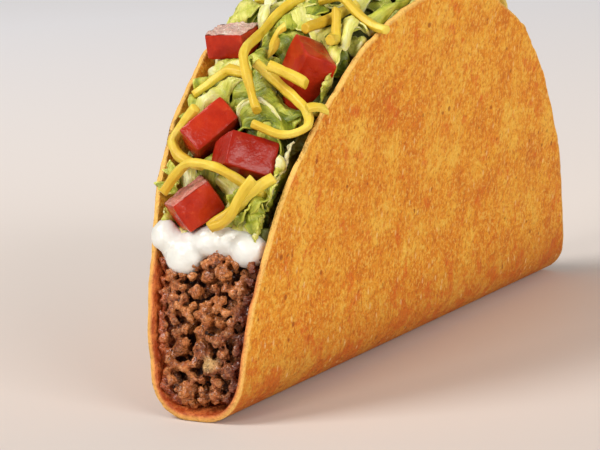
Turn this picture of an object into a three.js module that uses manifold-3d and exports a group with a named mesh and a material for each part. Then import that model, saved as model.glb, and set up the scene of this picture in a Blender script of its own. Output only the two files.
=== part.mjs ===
// A filled hard-shell taco, standing on its fold: a fried tortilla bent to a U, seasoned minced
// beef, sour cream, shredded lettuce, diced tomato and shredded cheese.
//
// Millimetres, +Z up. X runs along the fold, Y across the two walls, and the origin is the middle
// of the small flat that the fold stands on.
//
// The toppings follow the open edge of the shell, so they are placed by three numbers: the angle
// round the middle of the fold (0 at the -X end of the fold, 90 straight up, 180 at the +X end),
// the reach from there, and y across the taco.

import * as THREE from 'three';
import { LoftGeometry } from 'three/addons/geometries/LoftGeometry.js';
import { RoundedBoxGeometry } from 'three/addons/geometries/RoundedBoxGeometry.js';
import { mergeVertices } from 'three/addons/utils/BufferGeometryUtils.js';
import Module from 'manifold-3d';

const wasm = await Module();
wasm.setup();

// ---------------------------------------------------------------- driving dimensions

const FOLD_LENGTH = 150; // the folded tortilla, end to end
const HALF_FOLD = FOLD_LENGTH / 2;
const WALL_RISE = 84; // from the fold's middle to the top of a wall, along the tortilla
const WALL = 1.9; // thickness of the fried tortilla
const FLAT = 3.0; // half the width of the flat under the fold
const BEND = 7.8; // outer radius of the bend beside the flat
const WALL_ANGLE = THREE.MathUtils.degToRad(84.6); // the walls lean outwards by the rest of 90
const WALL_BOW = 0.0008; // the walls bow outwards by this much times the distance squared
const GAP = 0.35; // air between one piece and the next

const BEEF_LEVEL = 29.5; // top of the beef at the ends
const LAYER_CROWN = 5; // how much higher the layers are at the middle of the taco
const BEEF_RECESS = 1.3; // the beef stops this far inside the shell's edge
const CREAM_DEPTH = 6.2;
const CREAM_NOSE = 3; // rounding of the layer of cream at its ends
const CREAM_REACH = 65.5; // half the length of the layer of cream

const LETTUCE_FROM = THREE.MathUtils.degToRad(28.5);
const LETTUCE_CROWN = 4.5; // how far the lettuce rises past the shell's edge at the middle
const LETTUCE_SINK = 2.2; // and how far below that edge it lies near the ends

const CHEESE_WIDTH = 2.9;
const CHEESE_THICKNESS = 2.4;

const { sin, cos, sqrt, abs, min, max, PI, atan2, hypot } = Math;
const radians = THREE.MathUtils.degToRad;

// ---------------------------------------------------------------- the shell's section

const BEND_RUN = FLAT + BEND * WALL_ANGLE; // along the tortilla, from the fold's middle

// The point (y, z) at a distance along the tortilla from the fold's middle, moved inwards by inset.
function sectionPoint(along, inset = 0) {
  const s = abs(along);
  const turned = THREE.MathUtils.clamp((s - FLAT) / BEND, 0, WALL_ANGLE);
  const up = max(s - BEND_RUN, 0);
  const y = min(s, FLAT) + BEND * sin(turned) + up * cos(WALL_ANGLE) + WALL_BOW * up * up;
  const z = BEND * (1 - cos(turned)) + up * sin(WALL_ANGLE);
  const slope = atan2(sin(turned), cos(turned) + 2 * WALL_BOW * up);
  const inner = new THREE.Vector2(y - inset * sin(slope), z + inset * cos(slope));
  if (along < 0) inner.x *= -1;
  return inner;
}

// The distance along the tortilla at which the inset section reaches a height.
function alongAtHeight(z, inset) {
  let low = 0;
  let high = 2 * WALL_RISE;
  for (let i = 0; i < 40; i++) {
    const middle = (low + high) / 2;
    if (sectionPoint(middle, inset).y < z) low = middle;
    else high = middle;
  }
  return low;
}

const insideHalfWidth = (z, gap = GAP) => {
  const inset = WALL + gap;
  return sectionPoint(alongAtHeight(z, inset), inset).x;
};

// The height of the shell's edge over a place along the fold.
function edgeHeight(x) {
  const along = WALL_RISE * sqrt(max(0, 1 - (x / HALF_FOLD) ** 2));
  return sectionPoint(along).y;
}

// How far along the fold the shell's edge comes down to a height.
function edgeAtHeight(z) {
  const along = alongAtHeight(z, 0);
  return HALF_FOLD * sqrt(1 - (along / WALL_RISE) ** 2);
}

// How far the shell's edge is from the fold's middle at an angle.
function edgeReach(angle) {
  let low = 0;
  let high = PI;
  for (let i = 0; i < 40; i++) {
    const t = (low + high) / 2;
    if (atan2(edgeHeight(-HALF_FOLD * cos(t)), HALF_FOLD * cos(t)) < angle) low = t;
    else high = t;
  }
  const x = HALF_FOLD * cos(low);
  return hypot(x, edgeHeight(x));
}

const place = (angle, reach, y) => new THREE.Vector3(-reach * cos(angle), y, reach * sin(angle));

// ---------------------------------------------------------------- solids

function solidOf(geometry) {
  const bare = geometry.index ? geometry.toNonIndexed() : geometry.clone();
  const points = new THREE.BufferGeometry();
  points.setAttribute('position', bare.getAttribute('position'));
  const merged = mergeVertices(points, 1e-4);
  return new wasm.Manifold(
    new wasm.Mesh({
      numProp: 3,
      vertProperties: merged.attributes.position.array,
      triVerts: new Uint32Array(merged.index.array),
    }),
  );
}

// Only the largest of the bodies that a cut leaves is kept.
function largest(solid) {
  return solid.decompose().reduce((a, b) => (a.volume() > b.volume() ? a : b));
}

function geometryOf(solid) {
  const mesh = solid.getMesh();
  const geometry = new THREE.BufferGeometry();
  geometry.setAttribute('position', new THREE.BufferAttribute(mesh.vertProperties, 3));
  geometry.setIndex(new THREE.BufferAttribute(mesh.triVerts, 1));
  geometry.computeVertexNormals();
  return geometry;
}

const loft = (sections) => solidOf(new LoftGeometry(sections, { capStart: true, capEnd: true }));
const cutAll = (solid, tools) => tools.reduce((left, tool) => left.subtract(tool), solid);

// ---------------------------------------------------------------- shell

// A U-shaped channel, cut by the outline that the round tortilla has once it is folded.
// grow thickens it on every side, for use as a cutting tool.
function shellSolid(grow = 0) {
  const bendSteps = 9;
  const wallSteps = 6;
  const top = WALL_RISE + 3;
  const stops = [0];
  for (let i = 0; i <= bendSteps; i++) stops.push(FLAT + (BEND_RUN - FLAT) * (i / bendSteps));
  for (let i = 1; i <= wallSteps; i++) stops.push(BEND_RUN + (top - BEND_RUN) * (i / wallSteps));
  const run = [...stops.slice(1).reverse().map((s) => -s), ...stops];
  const outer = run.map((s) => sectionPoint(s, -grow));
  const inner = run.map((s) => sectionPoint(s, WALL + grow)).reverse();
  const channel = new THREE.ExtrudeGeometry(new THREE.Shape([...outer, ...inner]), {
    depth: FOLD_LENGTH + 10,
    bevelEnabled: false,
  });
  channel.translate(0, 0, -FOLD_LENGTH / 2 - 5);
  const [X, Y, Z] = [0, 1, 2].map((k) => new THREE.Vector3().setComponent(k, 1));
  channel.applyMatrix4(new THREE.Matrix4().makeBasis(Y, Z, X));

  const edgeSteps = 48;
  const half = HALF_FOLD + grow;
  const side = [];
  for (let i = 0; i <= edgeSteps; i++) {
    const turn = (PI * i) / edgeSteps;
    const along = (WALL_RISE + grow) * sin(turn);
    side.push(new THREE.Vector2(half * cos(turn), sectionPoint(along).y));
  }
  side.push(new THREE.Vector2(-half, -5), new THREE.Vector2(half, -5));
  const outline = new THREE.ExtrudeGeometry(new THREE.Shape(side), {
    depth: 80,
    bevelEnabled: false,
  });
  outline.translate(0, 0, -40);
  outline.applyMatrix4(new THREE.Matrix4().makeBasis(X, Z, Y.clone().negate()));
  return solidOf(channel).intersect(solidOf(outline));
}

// ---------------------------------------------------------------- fillings

const layerRise = (x) => LAYER_CROWN * max(0, 1 - (x / CREAM_REACH) ** 2);

// Lumps of a few millimetres, as a sum of crossing waves.
function lumps(x, y, size, height) {
  const k = (2 * PI) / size;
  const a = sin(k * x + 1.7 * sin(0.61 * k * y));
  const b = sin(0.83 * k * y + 1.3 * cos(0.47 * k * x) + 0.9);
  const c = cos(1.71 * k * x - 1.37 * k * y + 0.4);
  return (height * (a * b + 0.5 * c)) / 1.5;
}

// The minced beef fills the fold up to the cream, and shows at both open ends.
function beefSolid() {
  const mouthSteps = 8;
  const middleSteps = 5;
  const columns = 10;
  const inset = WALL + GAP;
  const foot = inset + 1;
  const mouth = [];
  for (let i = 0; i <= mouthSteps; i++) {
    const level = foot + ((BEEF_LEVEL - foot) * i) / mouthSteps;
    mouth.push({ x: edgeAtHeight(level) - BEEF_RECESS, level });
  }
  const inner = mouth.at(-1).x;
  const middle = [];
  for (let i = 1; i < middleSteps; i++) {
    const x = inner * ((2 * i) / middleSteps - 1);
    middle.push({ x, level: BEEF_LEVEL + layerRise(x) });
  }
  const left = mouth.map(({ x, level }) => ({ x: -x, level }));
  const sections = [...left, ...middle, ...mouth.reverse()].map(({ x, level }) => {
    const reach = alongAtHeight(level, inset);
    const showing = level <= BEEF_LEVEL - 2 ? 1 : 0;
    const under = [];
    const over = [];
    for (let j = 0; j <= columns; j++) {
      const share = (2 * j) / columns - 1;
      const point = sectionPoint(share * reach, inset);
      under.push(new THREE.Vector3(x, point.x, point.y));
      if (j === 0 || j === columns) continue;
      const out = showing * (0.5 + lumps(level, point.x, 6.5, 1.1)) * sqrt(1 - share * share);
      over.unshift(new THREE.Vector3(x + Math.sign(x) * out, point.x, level));
    }
    return [...under, ...over];
  });
  return loft(sections);
}

// A layer of sour cream on the beef, with rounded ends and lobes that hang over the beef.
// Each lobe is [end, y, reach, angle, three radii].
const CREAM_LOBES = [
  [-1, 11.2, 71.9, 28.4, [3.9, 3.7, 4.4]],
  [-1, 6.6, 71.7, 25.4, [3.4, 4.2, 3.9]],
  [-1, 1.4, 71.8, 28.0, [3.3, 4.4, 3.4]],
  [-1, -3.4, 71.4, 28.2, [3.2, 4.0, 3.2]],
  [-1, -7.6, 71.4, 27.2, [3.3, 3.9, 4.0]],
  [1, -8.2, 71.6, 27.8, [3.6, 3.8, 4.2]],
  [1, -2.6, 71.5, 25.6, [3.3, 4.4, 4.2]],
  [1, 3.6, 71.8, 28.2, [3.4, 4.2, 3.3]],
  [1, 8.6, 71.4, 26.4, [3.3, 3.8, 4.6]],
];

function creamSolid(grow = 0) {
  const noseSteps = 3;
  const bodySteps = 10;
  const columns = 8;
  const half = CREAM_REACH + grow;
  const nose = CREAM_NOSE + grow;
  const stops = [];
  for (let i = 0; i < noseSteps; i++) stops.push(half - nose * (1 - cos((PI * i) / 2 / noseSteps)));
  stops.reverse();
  const body = half - nose;
  const places = [];
  for (const stop of [...stops].reverse()) places.push(-stop);
  for (let i = 0; i <= bodySteps; i++) places.push(-body + (2 * body * i) / bodySteps);
  places.push(...stops);
  const sections = places.map((x) => {
    const inNose = max(0, (abs(x) - body) / nose);
    const plump = max(0.12, sqrt(1 - min(1, inNose) ** 2));
    const middle = BEEF_LEVEL + layerRise(x) + GAP + CREAM_DEPTH / 2;
    const tall = (CREAM_DEPTH / 2) * plump + grow;
    const under = [];
    const over = [];
    for (let j = 0; j <= columns; j++) {
      const share = (2 * j) / columns - 1;
      const round = sqrt(1 - share ** 4 * 0.92);
      const low = middle - tall * round;
      const high = middle + (tall + 0.6 * plump * sin(0.31 * x + 2.2 * share)) * round;
      under.push(new THREE.Vector3(x, share * insideHalfWidth(low, GAP - grow) * 0.99, low));
      over.unshift(new THREE.Vector3(x, share * insideHalfWidth(high, GAP - grow) * 0.99, high));
    }
    return [...under, ...over];
  });
  const lobes = CREAM_LOBES.map(([end, y, reach, degrees, radii]) => {
    const lobe = new THREE.SphereGeometry(1, 12, 6);
    lobe.scale(...radii.map((r) => r + grow));
    lobe.rotateY(-end * radians(degrees));
    const at = place(radians(degrees), reach, y);
    lobe.translate(-end * at.x, at.y, at.z);
    return solidOf(lobe);
  });
  return lobes.reduce((all, lobe) => all.add(lobe), loft(sections));
}

// How far the heap of lettuce reaches at an angle, at y across it.
function lettuceReach(angle, y) {
  const rise = LETTUCE_CROWN + LETTUCE_SINK;
  const edge = edgeReach(angle);
  const half = insideHalfWidth(edge * sin(angle));
  const across = 1 - 0.75 * min(1, abs(y) / half) ** 2;
  const along = sin(angle) ** 2.5;
  return edge - LETTUCE_SINK + rise * along * across + lumps(78 * angle, y, 15, 1.3);
}

function lettuceSolid() {
  const stations = 24;
  const columns = 8;
  const sideSteps = 3;
  const sections = [];
  for (let i = 0; i <= stations; i++) {
    const angle = LETTUCE_FROM + ((PI - 2 * LETTUCE_FROM) * i) / stations;
    const x = -edgeReach(angle) * cos(angle);
    const floor = BEEF_LEVEL + layerRise(x) + CREAM_DEPTH + 1.6;
    const low = min(floor / sin(angle), edgeReach(angle) - LETTUCE_SINK - 2);
    const halfAt = (reach) => insideHalfWidth(reach * sin(angle), 0.6);
    const under = [];
    const over = [];
    for (let j = 0; j <= columns; j++) {
      const share = (2 * j) / columns - 1;
      under.push(place(angle, low, share * halfAt(low)));
      const y = share * (halfAt(edgeReach(angle) - LETTUCE_SINK) - 0.2);
      over.unshift(place(angle, lettuceReach(angle, y), y));
    }
    const climb = [];
    const top = edgeReach(angle) - LETTUCE_SINK;
    for (let k = 1; k < sideSteps; k++) {
      const reach = low + ((top - low) * k) / sideSteps;
      climb.push(place(angle, reach, halfAt(reach)));
    }
    const descend = climb.map((p) => new THREE.Vector3(p.x, -p.y, p.z)).reverse();
    sections.push([...under, ...climb, ...over, ...descend]);
  }
  return loft(sections);
}

// ---------------------------------------------------------------- tomato dice

// Each is [angle, y, how far past the shell's edge, three sides, three turns in degrees].
const TOMATOES = [
  [64.2, 12.2, 2.6, [9.6, 5.4, 9.6], [145, -77, 54]],
  [58.0, -8.4, 0.5, [9.9, 12.4, 7.4], [-89, -58, 163]],
  [46.2, 6.8, 1.0, [11.8, 6.0, 8.6], [43, -55, -2]],
  [40.9, -4.0, 1.4, [11.1, 7.4, 9.2], [64, -33, -39]],
  [33.2, 5.2, 1.0, [9.6, 6.8, 8.6], [91, -43, 31]],
  [83.0, 4.5, 4.6, [10.0, 11.0, 8.5], [12, 18, 35]],
  [97.0, -10.0, 3.4, [10.5, 9.0, 9.5], [-24, 12, 20]],
  [109.0, 7.5, 3.2, [9.5, 11.0, 9.0], [30, 28, -18]],
  [122.0, -6.5, 2.4, [10.5, 10.0, 10.0], [16, 36, 28]],
  [135.0, 6.6, 2.2, [9.5, 10.5, 9.0], [-20, 44, 12]],
  [147.5, -2.4, 1.4, [10.5, 9.5, 9.0], [28, 50, -24]],
];

function tomatoGeometry(sides, grow = 0) {
  const [a, b, c] = sides.map((side) => side + 2 * grow);
  const plain = new THREE.BoxGeometry(a, b, c);
  const geometry = grow > 0 ? plain : new RoundedBoxGeometry(a, b, c, 1, 0.9);
  const points = geometry.getAttribute('position');
  const taper = 0.14; // a wedge of the fruit is a little narrower towards its middle
  for (let i = 0; i < points.count; i++) {
    const narrow = 1 - taper * (points.getZ(i) / c);
    points.setXY(i, points.getX(i) * narrow, points.getY(i) * (2 - narrow));
  }
  return geometry;
}

function tomatoPose([degrees, y, past, , turns]) {
  const angle = radians(degrees);
  const turn = new THREE.Euler(...turns.map(radians));
  return new THREE.Matrix4().compose(
    place(angle, edgeReach(angle) + past, y),
    new THREE.Quaternion().setFromEuler(turn),
    new THREE.Vector3(1, 1, 1),
  );
}

// ---------------------------------------------------------------- cheese shreds

// Each shred is a route over the toppings, as [angle, y] stops.
const SHREDS = [
  [[47.5, 9.0], [45.8, 12.6], [43.8, 14.6], [41.8, 13.6], [40.2, 10.0], [39, 6.2], [37.9, 2.4]],
  [[52, 14.4], [53.3, 12.6], [54.8, 10.9], [56, 9.3], [56.3, 7.0], [55.3, 3.9], [55.2, 1.0]],
  [[55.4, -0.8], [54.2, -4.4], [52.6, -8.1], [50.9, -11.9], [49.4, -14.4], [47.6, -16.2],
    [45.8, -16.4], [44.6, -15.0], [43.8, -12.6], [43.9, -9.6], [44.4, -6.6]],
  [[53.8, -5.6], [53.6, -9.2], [53.0, -13.4]],
  [[59.2, 0.0], [60.2, -2.2], [61.6, -4.6]],
  [[73.6, -11.6], [70.6, -9.6], [68.0, -8.8], [64.6, -8.8], [61.8, -8.6]],
  [[67.6, -11.6], [64.4, -12.8], [60.0, -15.4]],
  [[71.6, -4.6], [71.1, -9.7], [70.0, -13.9], [68.8, -18.2], [67.7, -22.0]],
  [[33.0, 9.9], [34.6, 8.8], [36.2, 6.9], [37.1, 3.5], [37, -0.4], [36.4, -4.4], [35.4, -8.4],
    [34.5, -12.0]],
  [[36.8, -14.4], [35.4, -12.6], [34.0, -10.6], [32.8, -8.4], [31.6, -6.0], [30.4, -3.6],
    [28.8, -1.2]],
  [[35.0, -12.9], [33.0, -11.2], [31.6, -9.6], [30.2, -7.8], [29.0, -5.8], [28.2, -3.4]],
  [[76, 0.5], [72.5, 1.8], [68.3, 3.4], [64.9, 3.1], [61.0, 2.2], [56.4, 1.0], [53.4, -0.6],
    [50.3, -2.8], [47.2, -5.6]],
  [[76, 15.0], [74.6, 9.0], [75.6, 3.0], [77.6, -2.0], [78.4, -7.4]],
  [[49.4, -19.2], [47.6, -17.0]],
  [[88, 14.0], [86, 8.0], [81, 3.0], [77, -1.0], [78, -8.0]],
  [[82, -14.0], [87, -10.0], [92, -4.0], [94, 3.0], [92, 9.0]],
  [[90, -3.0], [96, 1.0], [101, 6.0], [106, 11.0]],
  [[93, -16.4], [99, -14.0], [103, -8.0], [104, -1.0], [109, 4.0]],
  [[100, 14.6], [105, 11.0], [112, 10.0], [118, 5.0]],
  [[111, -13.6], [114, -8.0], [119, -3.0], [118, 4.0], [122, 9.0]],
  [[116, -12.6], [122, -11.0], [128, -8.0], [133, -2.0]],
  [[125, 12.6], [129, 7.0], [130, 0.0], [134, -6.0], [139, -9.0]],
  [[131, 9.0], [138, 9.6], [143, 6.0], [146, 0.0], [150, -4.0]],
  [[140, -11.0], [143, -6.0], [147, 3.0], [150, 8.0]],
];

// Where a ray running inwards at an angle and y first meets a tomato, or -Infinity.
function tomatoReach(dice, angle, y) {
  const far = place(angle, 120, y);
  const inwards = place(angle, -1, 0);
  let best = -Infinity;
  for (const { inverse, box } of dice) {
    const origin = far.clone().applyMatrix4(inverse);
    const direction = inwards.clone().transformDirection(inverse);
    const hit = new THREE.Ray(origin, direction).intersectBox(box, new THREE.Vector3());
    if (hit) best = max(best, 120 - hit.distanceTo(origin));
  }
  return best;
}

// The ends of the layer of cream, as something that a shred can lie on.
const CREAM_TOP = radians(31);
const creamUnder = (angle) => (min(angle, PI - angle) < CREAM_TOP ? 75.2 : -Infinity);

// The shell's edge as something that a shred can lie on.
function edgeUnder(angle, y) {
  const reach = edgeReach(angle);
  const inside = insideHalfWidth(reach * sin(angle), 0);
  return abs(y) > inside - 0.6 && abs(y) < inside + WALL + 1 ? reach : -Infinity;
}

// Lays one shred on the lettuce, the dice, the shell's edge and the shreds laid before it.
function layShred(stops, dice, laid) {
  const samples = 40;
  const radius = CHEESE_WIDTH / 2 + 0.1;
  const clear = 0.45;
  const flat = new THREE.CatmullRomCurve3(
    stops.map(([degrees, y]) => new THREE.Vector3(radians(degrees) * 78, y, 0)),
  );
  const route = flat.getSpacedPoints(samples).map((p) => ({ angle: p.x / 78, y: p.y }));
  const rest = route.map(({ angle, y }) => {
    let reach = -Infinity;
    for (const share of [0, 0.55, 1]) {
      const spokes = share === 0 ? 1 : 8;
      for (let k = 0; k < spokes; k++) {
        const a = angle + (share * radius * cos((PI * k) / 4)) / 78;
        const b = y + share * radius * sin((PI * k) / 4);
        const soft = max(lettuceReach(a, b) - 0.3, creamUnder(a));
        const under = max(soft, tomatoReach(dice, a, b), edgeUnder(a, b));
        reach = max(reach, under + radius * sqrt(1 - share * share));
      }
    }
    const at = place(angle, 1, 0);
    for (const p of laid) {
      const height = p.x * at.x + p.z * at.z;
      const aside = hypot(p.x - height * at.x, p.y - y, p.z - height * at.z);
      const reachOver = 2 * radius + 0.2;
      if (aside < reachOver) reach = max(reach, height + sqrt(reachOver ** 2 - aside ** 2));
    }
    return reach + clear;
  });
  let reach = [...rest];
  const sag = 0.012;
  for (let pass = 0; pass < 60; pass++) {
    reach = reach.map((r, i) => {
      const before = reach[max(0, i - 1)];
      const after = reach[min(samples, i + 1)];
      return max(rest[i], (before + after) / 2 - sag, r - 0.5);
    });
  }
  return route.map(({ angle, y }, i) => place(angle, reach[i], y));
}

function shredGeometry(points, grow = 0) {
  const sides = 6;
  const section = new THREE.Shape();
  for (let i = 0; i < sides; i++) {
    const turn = (2 * PI * (i + 0.5)) / sides;
    const x = (CHEESE_THICKNESS / 2 + grow) * cos(turn);
    const y = (CHEESE_WIDTH / 2 + grow) * sin(turn);
    if (i === 0) section.moveTo(x, y);
    else section.lineTo(x, y);
  }
  section.closePath();
  const path = new THREE.CatmullRomCurve3(points);
  const steps = max(4, Math.round(path.getLength() / 3.2));
  return new THREE.ExtrudeGeometry(section, { steps, extrudePath: path, bevelEnabled: false });
}

// ---------------------------------------------------------------- assembly

const finish = (colour, roughness) =>
  new THREE.MeshStandardMaterial({ color: colour, roughness, metalness: 0 });

const MATERIALS = {
  tortilla: finish(0xd98a2b, 0.85),
  beef: finish(0x7d4a2c, 0.55),
  cream: finish(0xf4f4ee, 0.3),
  lettuce: finish(0x9fb35a, 0.5),
  tomato: finish(0xcf3323, 0.25),
  cheese: finish(0xf0bd2b, 0.5),
};

const taco = new THREE.Group();

function addPiece(name, geometry, material) {
  const mesh = new THREE.Mesh(geometry, material);
  mesh.name = name;
  taco.add(mesh);
  return mesh;
}

const numbered = (name, index) => `${name}_${String(index + 1).padStart(2, '0')}`;

const cutters = [];
const dice = [];

TOMATOES.forEach((row, index) => {
  const pose = tomatoPose(row);
  const mesh = addPiece(numbered('tomato', index), tomatoGeometry(row[3]), MATERIALS.tomato);
  mesh.applyMatrix4(pose);
  cutters.push(solidOf(tomatoGeometry(row[3], GAP).applyMatrix4(pose)));
  const size = new THREE.Vector3(...row[3]).multiplyScalar(1.07);
  const box = new THREE.Box3().setFromCenterAndSize(new THREE.Vector3(), size);
  dice.push({ inverse: pose.clone().invert(), box });
});

const laid = [];
SHREDS.forEach((stops, index) => {
  const points = layShred(stops, dice, laid);
  laid.push(...points);
  addPiece(numbered('cheese', index), shredGeometry(points), MATERIALS.cheese);
  cutters.push(solidOf(shredGeometry(points, GAP)));
});

const shellTool = shellSolid(GAP);
const cream = largest(cutAll(creamSolid(), [...cutters, shellTool]));
const creamTool = creamSolid(GAP);
const beef = largest(beefSolid().subtract(creamTool));
const lettuce = largest(cutAll(lettuceSolid(), [creamTool, ...cutters]));

addPiece('shell', geometryOf(shellSolid()), MATERIALS.tortilla);
addPiece('beef', geometryOf(beef), MATERIALS.beef);
addPiece('sour_cream', geometryOf(cream), MATERIALS.cream);
addPiece('lettuce', geometryOf(lettuce), MATERIALS.lettuce);

export default taco;
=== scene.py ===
# %% [markdown]
# # A filled hard-shell taco
#
# The taco stands on its fold. Every length here is in metres and every piece is made in place, round
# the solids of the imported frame. The frame says where things are; this file says what they look
# like. We keep the size of the frame's box at the start, to compare it with the finished model.

# %% Load the frame
from math import cos, degrees, pi, radians, sin

import bpy
import numpy as np
from mathutils import Matrix, Vector, noise
from mathutils.bvhtree import BVHTree


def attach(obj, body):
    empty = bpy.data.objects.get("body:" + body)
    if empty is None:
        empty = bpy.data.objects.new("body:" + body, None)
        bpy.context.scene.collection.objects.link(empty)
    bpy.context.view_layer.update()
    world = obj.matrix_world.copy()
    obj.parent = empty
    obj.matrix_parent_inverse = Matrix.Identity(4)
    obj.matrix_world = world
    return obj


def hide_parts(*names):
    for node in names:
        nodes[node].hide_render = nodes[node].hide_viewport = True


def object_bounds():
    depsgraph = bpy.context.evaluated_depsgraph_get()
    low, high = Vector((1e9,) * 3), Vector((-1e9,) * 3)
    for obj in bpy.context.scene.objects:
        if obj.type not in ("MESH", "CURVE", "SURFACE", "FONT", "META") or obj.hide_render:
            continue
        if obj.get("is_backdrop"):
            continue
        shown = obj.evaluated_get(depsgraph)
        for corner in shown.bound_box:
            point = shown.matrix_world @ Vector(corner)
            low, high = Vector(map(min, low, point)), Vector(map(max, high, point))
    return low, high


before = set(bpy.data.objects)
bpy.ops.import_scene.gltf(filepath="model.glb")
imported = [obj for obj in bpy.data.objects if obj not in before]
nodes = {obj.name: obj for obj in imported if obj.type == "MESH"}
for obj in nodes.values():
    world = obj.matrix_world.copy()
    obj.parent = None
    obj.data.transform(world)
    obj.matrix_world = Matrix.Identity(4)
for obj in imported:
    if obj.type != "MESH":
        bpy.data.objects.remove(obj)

MM = 0.001
cad_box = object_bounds()
print("frame:", len(nodes), "nodes")

# %% [markdown]
# ## Camera
#
# A long lens held low, a little above the table. A long lens keeps the near and the far end of the
# taco almost the same size. The camera is aimed by a matrix: its three columns are the camera's own
# right, up and backward directions.

# %% Camera
LENS = 132
EYE = Vector((-0.41628, -0.24127, 0.11360))
SIGHT = Vector((0.83330, 0.52310, -0.17890)).normalized()
UP_HINT = Vector((0.1681, 0.0310, 0.9853))

camera_data = bpy.data.cameras.new("camera")
camera_data.lens = LENS
camera_data.clip_start = 0.02
camera_data.clip_end = 50
camera = bpy.data.objects.new("camera", camera_data)
bpy.context.scene.collection.objects.link(camera)
to_right = SIGHT.cross(UP_HINT).normalized()
to_top = to_right.cross(SIGHT)
camera.matrix_world = Matrix((to_right, to_top, -SIGHT)).transposed().to_4x4()
camera.location = EYE
bpy.context.scene.camera = camera
print("camera at", [round(v, 3) for v in EYE])

# %% [markdown]
# ## Light
#
# Food is lit softly. One large panel behind and to the left rakes over the toppings and throws the
# shadow forward to the right. A second panel beside the camera fills the long wall of the shell, a
# small third one looks into the open end, and the sky evens out the rest. The Standard view
# transform shows the colours as they are set in the materials.

# %% Light
AIM = (0, 0, 0.04)
SKY_STRENGTH = 0.30


def panel(name, place, size, power, colour):
    data = bpy.data.lights.new(name, "AREA")
    data.shape = "RECTANGLE"
    data.size, data.size_y = size
    data.energy = power
    data.color = colour
    lamp = bpy.data.objects.new(name, data)
    lamp.location = place
    lamp.rotation_mode = "QUATERNION"
    lamp.rotation_quaternion = (Vector(AIM) - Vector(place)).to_track_quat("-Z", "Y")
    bpy.context.scene.collection.objects.link(lamp)


panel("key_panel", (-1.3, 1.5, 2.2), (1.3, 1.3), 62.0, (1.0, 0.985, 0.96))
panel("fill_panel", (-1.0, -2.5, 1.0), (1.6, 1.0), 49.0, (1.0, 0.98, 0.95))
panel("mouth_panel", (-2.6, 0.3, 1.1), (0.8, 0.8), 23.0, (1.0, 0.985, 0.96))

bpy.context.scene.view_settings.view_transform = "Standard"

sky = bpy.data.worlds.new("soft_sky")
sky.use_nodes = True
sky.node_tree.nodes["Background"].inputs["Color"].default_value = (1.0, 0.99, 0.98, 1)
sky.node_tree.nodes["Background"].inputs["Strength"].default_value = SKY_STRENGTH
bpy.context.scene.world = sky

# %% [markdown]
# ## Writing materials as sums
#
# A material is a graph of nodes, but it reads best as arithmetic. `Value` wraps the output of a
# node, so that `1 - mask * 0.5` adds the Math nodes by itself. `Recipe` starts a material and adds
# any other node: first its settings, then what goes into its sockets.

# %% Shader helpers
class Value:
    """A number that varies over a surface: the output socket of a node, with arithmetic."""

    def __init__(self, recipe, socket):
        self.recipe = recipe
        self.socket = socket

    def _with(self, operation, first, second):
        ports = {0: first, 1: second}
        return self.recipe.node("ShaderNodeMath", {"operation": operation}, ports)

    def __add__(self, other):
        return self._with("ADD", self, other)

    def __radd__(self, other):
        return self._with("ADD", other, self)

    def __sub__(self, other):
        return self._with("SUBTRACT", self, other)

    def __rsub__(self, other):
        return self._with("SUBTRACT", other, self)

    def __mul__(self, other):
        return self._with("MULTIPLY", self, other)

    def __rmul__(self, other):
        return self._with("MULTIPLY", other, self)

    def __abs__(self):
        return self._with("ABSOLUTE", self, 0)


class Recipe:
    """One material: its node tree, its Principled shader and short ways to add nodes."""

    def __init__(self, name):
        self.material = bpy.data.materials.new(name)
        self.material.use_nodes = True
        self.tree = self.material.node_tree
        self.shader = self.tree.nodes["Principled BSDF"]
        place = self.tree.nodes.new("ShaderNodeTexCoord")
        self.place = Value(self, place.outputs["Object"])

    def node(self, kind, settings=None, ports=None, output=0):
        made = self.tree.nodes.new(kind)
        for key, value in (settings or {}).items():
            if key == "stops":
                self._set_stops(made.color_ramp, value)
            else:
                setattr(made, key, value)
        for key, value in (ports or {}).items():
            if isinstance(value, Value):
                self.tree.links.new(value.socket, made.inputs[key])
            else:
                made.inputs[key].default_value = value
        return Value(self, made.outputs[output])

    def _set_stops(self, ramp, stops):
        while len(ramp.elements) > 1:
            ramp.elements.remove(ramp.elements[-1])
        for index, (position, colour) in enumerate(stops):
            stop = ramp.elements[0] if index == 0 else ramp.elements.new(position)
            stop.position = position
            stop.color = (*colour, 1)

    def stretched(self, scale):
        return self.node("ShaderNodeMapping", {}, {"Vector": self.place, "Scale": scale})

    def noise(self, scale, detail=4.0, roughness=0.55, place=None):
        ports = {"Vector": place or self.place, "Scale": scale, "Detail": detail}
        return self.node("ShaderNodeTexNoise", {}, {**ports, "Roughness": roughness})

    def cells(self, scale, place=None):
        ports = {"Vector": place or self.place, "Scale": scale}
        return self.node("ShaderNodeTexVoronoi", {}, ports)

    def attribute(self, name):
        return self.node("ShaderNodeAttribute", {"attribute_name": name}, {}, "Fac")

    def ramp(self, value, stops):
        return self.node("ShaderNodeValToRGB", {"stops": stops}, {"Fac": value})

    def steps(self, value, low, high):
        ports = {"Value": value, "From Min": low, "From Max": high}
        return self.node("ShaderNodeMapRange", {"interpolation_type": "SMOOTHSTEP"}, ports)

    def mix(self, share, first, second):
        ports = {0: share, 6: self._rgba(first), 7: self._rgba(second)}
        return self.node("ShaderNodeMix", {"data_type": "RGBA"}, ports, 2)

    def _rgba(self, colour):
        return colour if isinstance(colour, Value) else (*colour, 1)

    def set(self, **constants):
        for name, value in constants.items():
            self.shader.inputs[name.replace("_", " ")].default_value = value

    def feed(self, name, value):
        self.tree.links.new(value.socket, self.shader.inputs[name])

    def bumps(self, *layers):
        """Each layer is (height, distance in metres)."""
        normal = None
        for height, distance in layers:
            ports = {"Height": height, "Distance": distance, "Strength": 1.0}
            if normal is not None:
                ports["Normal"] = normal
            normal = self.node("ShaderNodeBump", {}, ports)
        self.feed("Normal", normal)


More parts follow.
